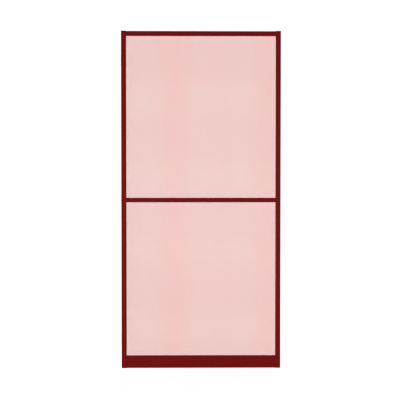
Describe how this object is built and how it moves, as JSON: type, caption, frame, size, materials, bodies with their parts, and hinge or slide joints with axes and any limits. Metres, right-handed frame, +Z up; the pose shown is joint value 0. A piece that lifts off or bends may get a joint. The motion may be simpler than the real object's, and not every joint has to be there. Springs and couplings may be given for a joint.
{
  "type": "screen door",
  "caption": "Hinged screen door leaf: hollow aluminium stiles and rails with insect mesh panes held by rubber splines, hung on butt hinges.",
  "frame": {"origin": "on the wall side of the lowest hinge's wall plate, midway between its two screw holes", "axes": "+Z up along the leaf, +Y from the leaf's front to the wall behind it, +X from hinges to closing side"},
  "size_m": [1.0045, 0.03, 2.118],
  "materials": {
    "powder_coat": "satin powder coat",
    "mesh": "coated glass fibre mesh",
    "spline": "matte",
    "cap": "moulded satin",
    "pile": "woven pile",
    "screw": "painted steel",
    "hinge": "satin stainless",
    "pin": "polished stainless"
  },
  "bodies": {
    "wall_side": {"lower_hinge_wall_plate": "hinge", "middle_hinge_wall_plate": "hinge", "upper_hinge_wall_plate": "hinge", "lower_hinge_pin": "pin", "middle_hinge_pin": "pin", "upper_hinge_pin": "pin"},
    "leaf": {"hinge_stile": "powder_coat", "closing_stile": "powder_coat", "top_rail": "powder_coat", "middle_rail": "powder_coat", "bottom_rail": "powder_coat", "upper_screen": "mesh", "lower_screen": "mesh", "upper_top_spline": "spline", "upper_bottom_spline": "spline", "upper_hinge_side_spline": "spline", "upper_closing_side_spline": "spline", "lower_top_spline": "spline", "lower_bottom_spline": "spline", "lower_hinge_side_spline": "spline", "lower_closing_side_spline": "spline", "hinge_stile_top_cap": "cap", "hinge_stile_bottom_cap": "cap", "closing_stile_top_cap": "cap", "closing_stile_bottom_cap": "cap", "top_brush": "pile", "bottom_brush": "pile", "hinge_side_brush": "pile", "closing_side_brush": "pile", "lower_hinge_leaf_plate": "hinge", "middle_hinge_leaf_plate": "hinge", "upper_hinge_leaf_plate": "hinge"}
  },
  "joints": [
    {"name": "leaf_swing", "type": "hinge", "parent": "wall_side", "child": "leaf", "pos_m": [-0.0094, -0.0045, 0.879], "axis": [0, 0, -1], "range_deg": [0, 95]}
  ]
}
